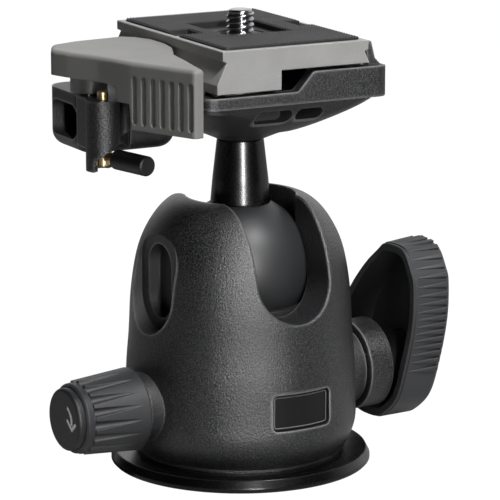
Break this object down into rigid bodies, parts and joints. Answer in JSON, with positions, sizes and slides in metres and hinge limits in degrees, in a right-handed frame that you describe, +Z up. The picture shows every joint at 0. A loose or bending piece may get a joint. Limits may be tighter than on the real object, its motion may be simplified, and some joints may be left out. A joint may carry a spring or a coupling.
{
  "type": "tripod ball head",
  "caption": "Compact tripod ball head with a notched housing, locking wing knob, friction knob and a lever-clamped quick-release plate.",
  "frame": {"origin": "middle of the base flange's underside, on the tripod screw's axis", "axes": "+Z up out of the tripod; the camera plate lies square to X and Y, its clamping lever on the -X side, and the 90 degree notch faces -Y"},
  "size_m": [0.0964, 0.0653, 0.1048],
  "materials": {
    "black_coat": "fine speckled powder coat, satin",
    "flange_coat": "smooth satin black",
    "lever_coat": "satin mid grey",
    "plate_metal": "matt light grey casting",
    "ball_coat": "smooth dark grey satin",
    "stem_coat": "satin black",
    "knob_plastic": "fine grained dark grey",
    "cap_plastic": "satin dark grey",
    "seat_plastic": "self-lubricating plastic",
    "pad_rubber": "fine knurl",
    "brass": "turned",
    "steel": "turned",
    "alloy": "machined",
    "label_metal": "bare plate with a satin face"
  },
  "bodies": {
    "base": {"base_flange": "flange_coat", "tripod_insert": "steel", "base_screws": "steel", "housing": "black_coat", "label_plate": "label_metal", "ball_seat": "seat_plastic", "seat_wedge": "alloy", "lock_bush": "brass", "friction_bush": "brass"},
    "ball": {"ball": "ball_coat"},
    "stem": {"stem": "stem_coat"},
    "platform": {"platform": "black_coat", "platform_screw": "steel", "lever_pin": "steel", "trip_ring": "steel", "trip_spring": "steel"},
    "lever": {"lever": "lever_coat"},
    "safety_pin": {"safety_pin": "brass"},
    "safety_handle": {"safety_hub": "brass", "safety_sleeve": "knob_plastic"},
    "trip_button": {"trip_button": "brass"},
    "plate": {"camera_plate": "plate_metal", "rubber_pad": "pad_rubber", "screw_clip": "steel"},
    "camera_screw": {"camera_screw": "steel"},
    "main_knob": {"wing_knob": "knob_plastic", "lock_collar": "knob_plastic", "lock_screw": "steel"},
    "lock_plunger": {"lock_plunger": "steel"},
    "friction_knob": {"friction_knob": "knob_plastic", "friction_cap": "cap_plastic", "friction_screw": "steel"},
    "friction_plunger": {"friction_plunger": "steel", "friction_pad": "seat_plastic"}
  },
  "joints": [
    {"name": "ball_roll", "type": "hinge", "parent": "base", "child": "ball", "pos_m": [0, 0, 0.0458], "axis": [0.0819, -0.9966, 0], "range_deg": [-12, 12]},
    {"name": "ball_pitch", "type": "hinge", "parent": "ball", "child": "stem", "pos_m": [0, 0, 0.0458], "axis": [0.9966, 0.0819, 0], "range_deg": [-26, 90]},
    {"name": "ball_spin", "type": "hinge", "parent": "stem", "child": "platform", "pos_m": [0, 0, 0.0755], "axis": [0, 0, 1], "continuous": true},
    {"name": "lever_turn", "type": "hinge", "parent": "platform", "child": "lever", "pos_m": [-0.0332, 0.0098, 0.09], "axis": [0, 0, -1], "range_deg": [0, 65], "stiffness_Nm_per_rad": 0.06, "springref_deg": -20.05},
    {"name": "safety_pin_drop", "type": "slide", "parent": "platform", "child": "safety_pin", "axis": [0, 0, 1], "range_m": [-0.0016, 0]},
    {"name": "safety_handle_turn", "type": "hinge", "parent": "safety_pin", "child": "safety_handle", "pos_m": [-0.0342, 0.0006, 0.074], "axis": [0, 0, 1], "range_deg": [-38, 0]},
    {"name": "trip_button_press", "type": "slide", "parent": "platform", "child": "trip_button", "axis": [0, 0, 1], "range_m": [-0.0015, 0], "stiffness_N_per_m": 250, "springref_m": 0.0015, "deforming": ["trip_spring"]},
    {"name": "plate_release", "type": "slide", "parent": "platform", "child": "plate", "axis": [0, 1, 0], "range_m": [0, 0.045]},
    {"name": "camera_screw_turn", "type": "hinge", "parent": "plate", "child": "camera_screw", "pos_m": [0, 0, 0.098], "axis": [0, 0, 1], "continuous": true},
    {"name": "main_knob_turn", "type": "hinge", "parent": "base", "child": "main_knob", "pos_m": [0.0293, 0.00241, 0.0178], "axis": [0.9966, 0.0819, 0], "range_deg": [-45, 270]},
    {"name": "lock_plunger_travel", "type": "slide", "parent": "base", "child": "lock_plunger", "axis": [0.9966, 0.0819, 0], "range_m": [-0.00016, 0.00094]},
    {"name": "friction_knob_turn", "type": "hinge", "parent": "base", "child": "friction_knob", "pos_m": [-0.0291, -0.00239, 0.0159], "axis": [-0.9966, -0.0819, 0], "range_deg": [-90, 270]},
    {"name": "friction_plunger_travel", "type": "slide", "parent": "base", "child": "friction_plunger", "axis": [-0.9966, -0.0819, 0], "range_m": [-0.00021, 0.00061]}
  ],
  "couplings": [
    {"joint": "safety_handle_turn", "follows": "safety_pin_drop", "rad_per_m": 414.5},
    {"joint": "lock_plunger_travel", "follows": "main_knob_turn", "m_per_rad": 0.00019894},
    {"joint": "friction_plunger_travel", "follows": "friction_knob_turn", "m_per_rad": 0.00012732}
  ]
}
